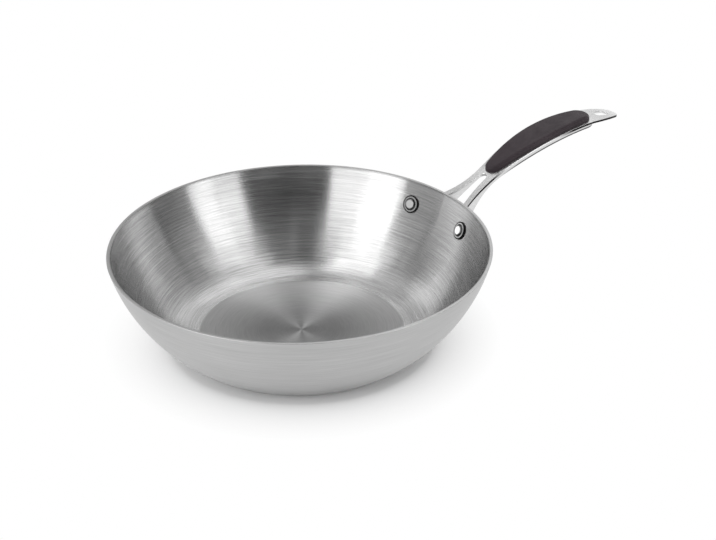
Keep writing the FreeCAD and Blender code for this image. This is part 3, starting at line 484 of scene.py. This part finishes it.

# edges painted near black: the one round the plate as a painted dark reflection, save between two places
# along X where it is left bright, and the frame's lower one as painted shade, an arc about a point below
# the grip that starts behind the fork
paintedEdgeShade = {"colour": (0.014, 0.012, 0.013), "roughness": 0.35, "share": 1.0,
            "plate": {"Start": 0.80, "End": 0.985},
            "brightFrom": (0.178, 0.190), "brightTo": (0.240, 0.255),
            "archCentre": (0.2625, 0, -0.0988), "archStart": (0.185, 0.200),
            "arch": {"Radius": 0.1912, "Width": 0.0015}}

for node, look in handleLooks.items():
    steel, tree, shader = steelFinish(node + "Steel", look, brushedLines, "Lines", handleLines)
    place = addNode(tree, "ShaderNodeTexCoord")
    parts = addNode(tree, "ShaderNodeSeparateXYZ")
    wire(tree, place.outputs["Object"], parts.inputs["Vector"])
    both = addNode(tree, "ShaderNodeMath", operation="MULTIPLY")
    if node == "handle_top_plate":
        ring = useGroup(tree, outerEdge, paintedEdgeShade["plate"])
        wire(tree, ring.outputs["Edge"], both.inputs[0])
        # where the painted dark reflection lies on the plate's edge, outside the bright stretch
        dull = addNode(tree, "ShaderNodeMath", operation="MAXIMUM")
        wire(tree, mapRange(tree, parts.outputs["X"], 1, 0, *paintedEdgeShade["brightFrom"]), dull.inputs[0])
        wire(tree, mapRange(tree, parts.outputs["X"], 0, 1, *paintedEdgeShade["brightTo"]), dull.inputs[1])
        wire(tree, dull.outputs["Value"], both.inputs[1])
    else:
        arch = addNode(tree, "ShaderNodeMapping", vector_type="TEXTURE")
        arch.inputs["Location"].default_value = paintedEdgeShade["archCentre"]
        arch.inputs["Rotation"].default_value = (math.pi / 2, 0, 0)     # the arc is seen from the side
        wire(tree, place.outputs["Object"], arch.inputs["Vector"])
        arc = useGroup(tree, roundMask, paintedEdgeShade["arch"])
        wire(tree, arch.outputs["Vector"], arc.inputs["Place"])
        wire(tree, arc.outputs["Ring"], both.inputs[0])
        wire(tree, mapRange(tree, parts.outputs["X"], 0, 1, *paintedEdgeShade["archStart"]), both.inputs[1])
    # the near-black colour is painted shade and painted dark reflection
    overlay(tree, shader, both.outputs["Value"],
            paintedEdgeShade["share"], paintedEdgeShade["colour"], paintedEdgeShade["roughness"])
    dress(node, steel)

# near-black rings of painted shade round the head and painted dark reflection in the step below its crown:
# radius, width, share of colour
rivetLines = {"Lines Per Metre": 6000, "Lines Along": 2000, "Detail": 3}
rivetLook = {"dark": (0.80, 0.80, 0.80), "light": (0.92, 0.92, 0.92), "roughness": (0.03, 0.08),
             "dulling": 0.02, "patches": 120, "bump": 0.01, "depth": 0.00005,
             "seat": (0.12819, 0.02872, 0.0561), "lean": (0, 114.12, 12.63),
             "rings": ((0.0064, 0.0013, 1.0), (0.0042, 0.0015, 0.95)),
             "paintedShade": (0.010, 0.010, 0.010), "paintedShadeRoughness": 0.3}
rivetSteel, tree, shader = steelFinish("rivetSteel", rivetLook, brushedLines, "Lines", rivetLines)
place = addNode(tree, "ShaderNodeTexCoord")
# the two rivets mirror each other
bothSides = addNode(tree, "ShaderNodeVectorMath", operation="ABSOLUTE")
wire(tree, place.outputs["Object"], bothSides.inputs[0])
seat = addNode(tree, "ShaderNodeMapping", vector_type="TEXTURE")
seat.inputs["Location"].default_value = rivetLook["seat"]
seat.inputs["Rotation"].default_value = [math.radians(angle) for angle in rivetLook["lean"]]
wire(tree, bothSides.outputs["Vector"], seat.inputs["Vector"])
# painted shade and dark reflection, not dirt
for radius, width, share in rivetLook["rings"]:
    ring = useGroup(tree, roundMask, {"Radius": radius, "Width": width})
    wire(tree, seat.outputs["Vector"], ring.inputs["Place"])
    overlay(tree, shader, ring.outputs["Ring"], share, rivetLook["paintedShade"], rivetLook["paintedShadeRoughness"])
for node in ("left_rivet", "right_rivet"):
    dress(node, rivetSteel)
print("handle finished")


# the grip

gripLook = {"dark": (0.021, 0.014, 0.018), "light": (0.032, 0.022, 0.027), "roughness": (0.50, 0.62),
            "shine": 0.3, "patches": 60,
            "grain": 2600, "bump": 0.25, "depth": 0.0001}


def rubberFinish(name, look):
    material, tree, shader = newMaterial(name)
    shader.inputs["Specular IOR Level"].default_value = look["shine"]
    place = addNode(tree, "ShaderNodeTexCoord")
    grain = addNode(tree, "ShaderNodeTexNoise", {"Scale": look["grain"], "Detail": 3, "Roughness": 0.5})
    wire(tree, place.outputs["Object"], grain.inputs["Vector"])
    cloud = useGroup(tree, handling, {"Patches Per Metre": look["patches"]})
    tint = mixColours(tree, cloud.outputs["Dulling"], look["dark"], look["light"])
    wire(tree, tint, shader.inputs["Base Color"])
    smooth, rough = look["roughness"]       # the paler patches are the smoother ones
    wire(tree, mapRange(tree, cloud.outputs["Dulling"], rough, smooth), shader.inputs["Roughness"])
    addBump(tree, shader, grain.outputs["Fac"], look["bump"], look["depth"])
    return material


dress("soft_grip", rubberFinish("gripRubber", gripLook))
print("grip finished")
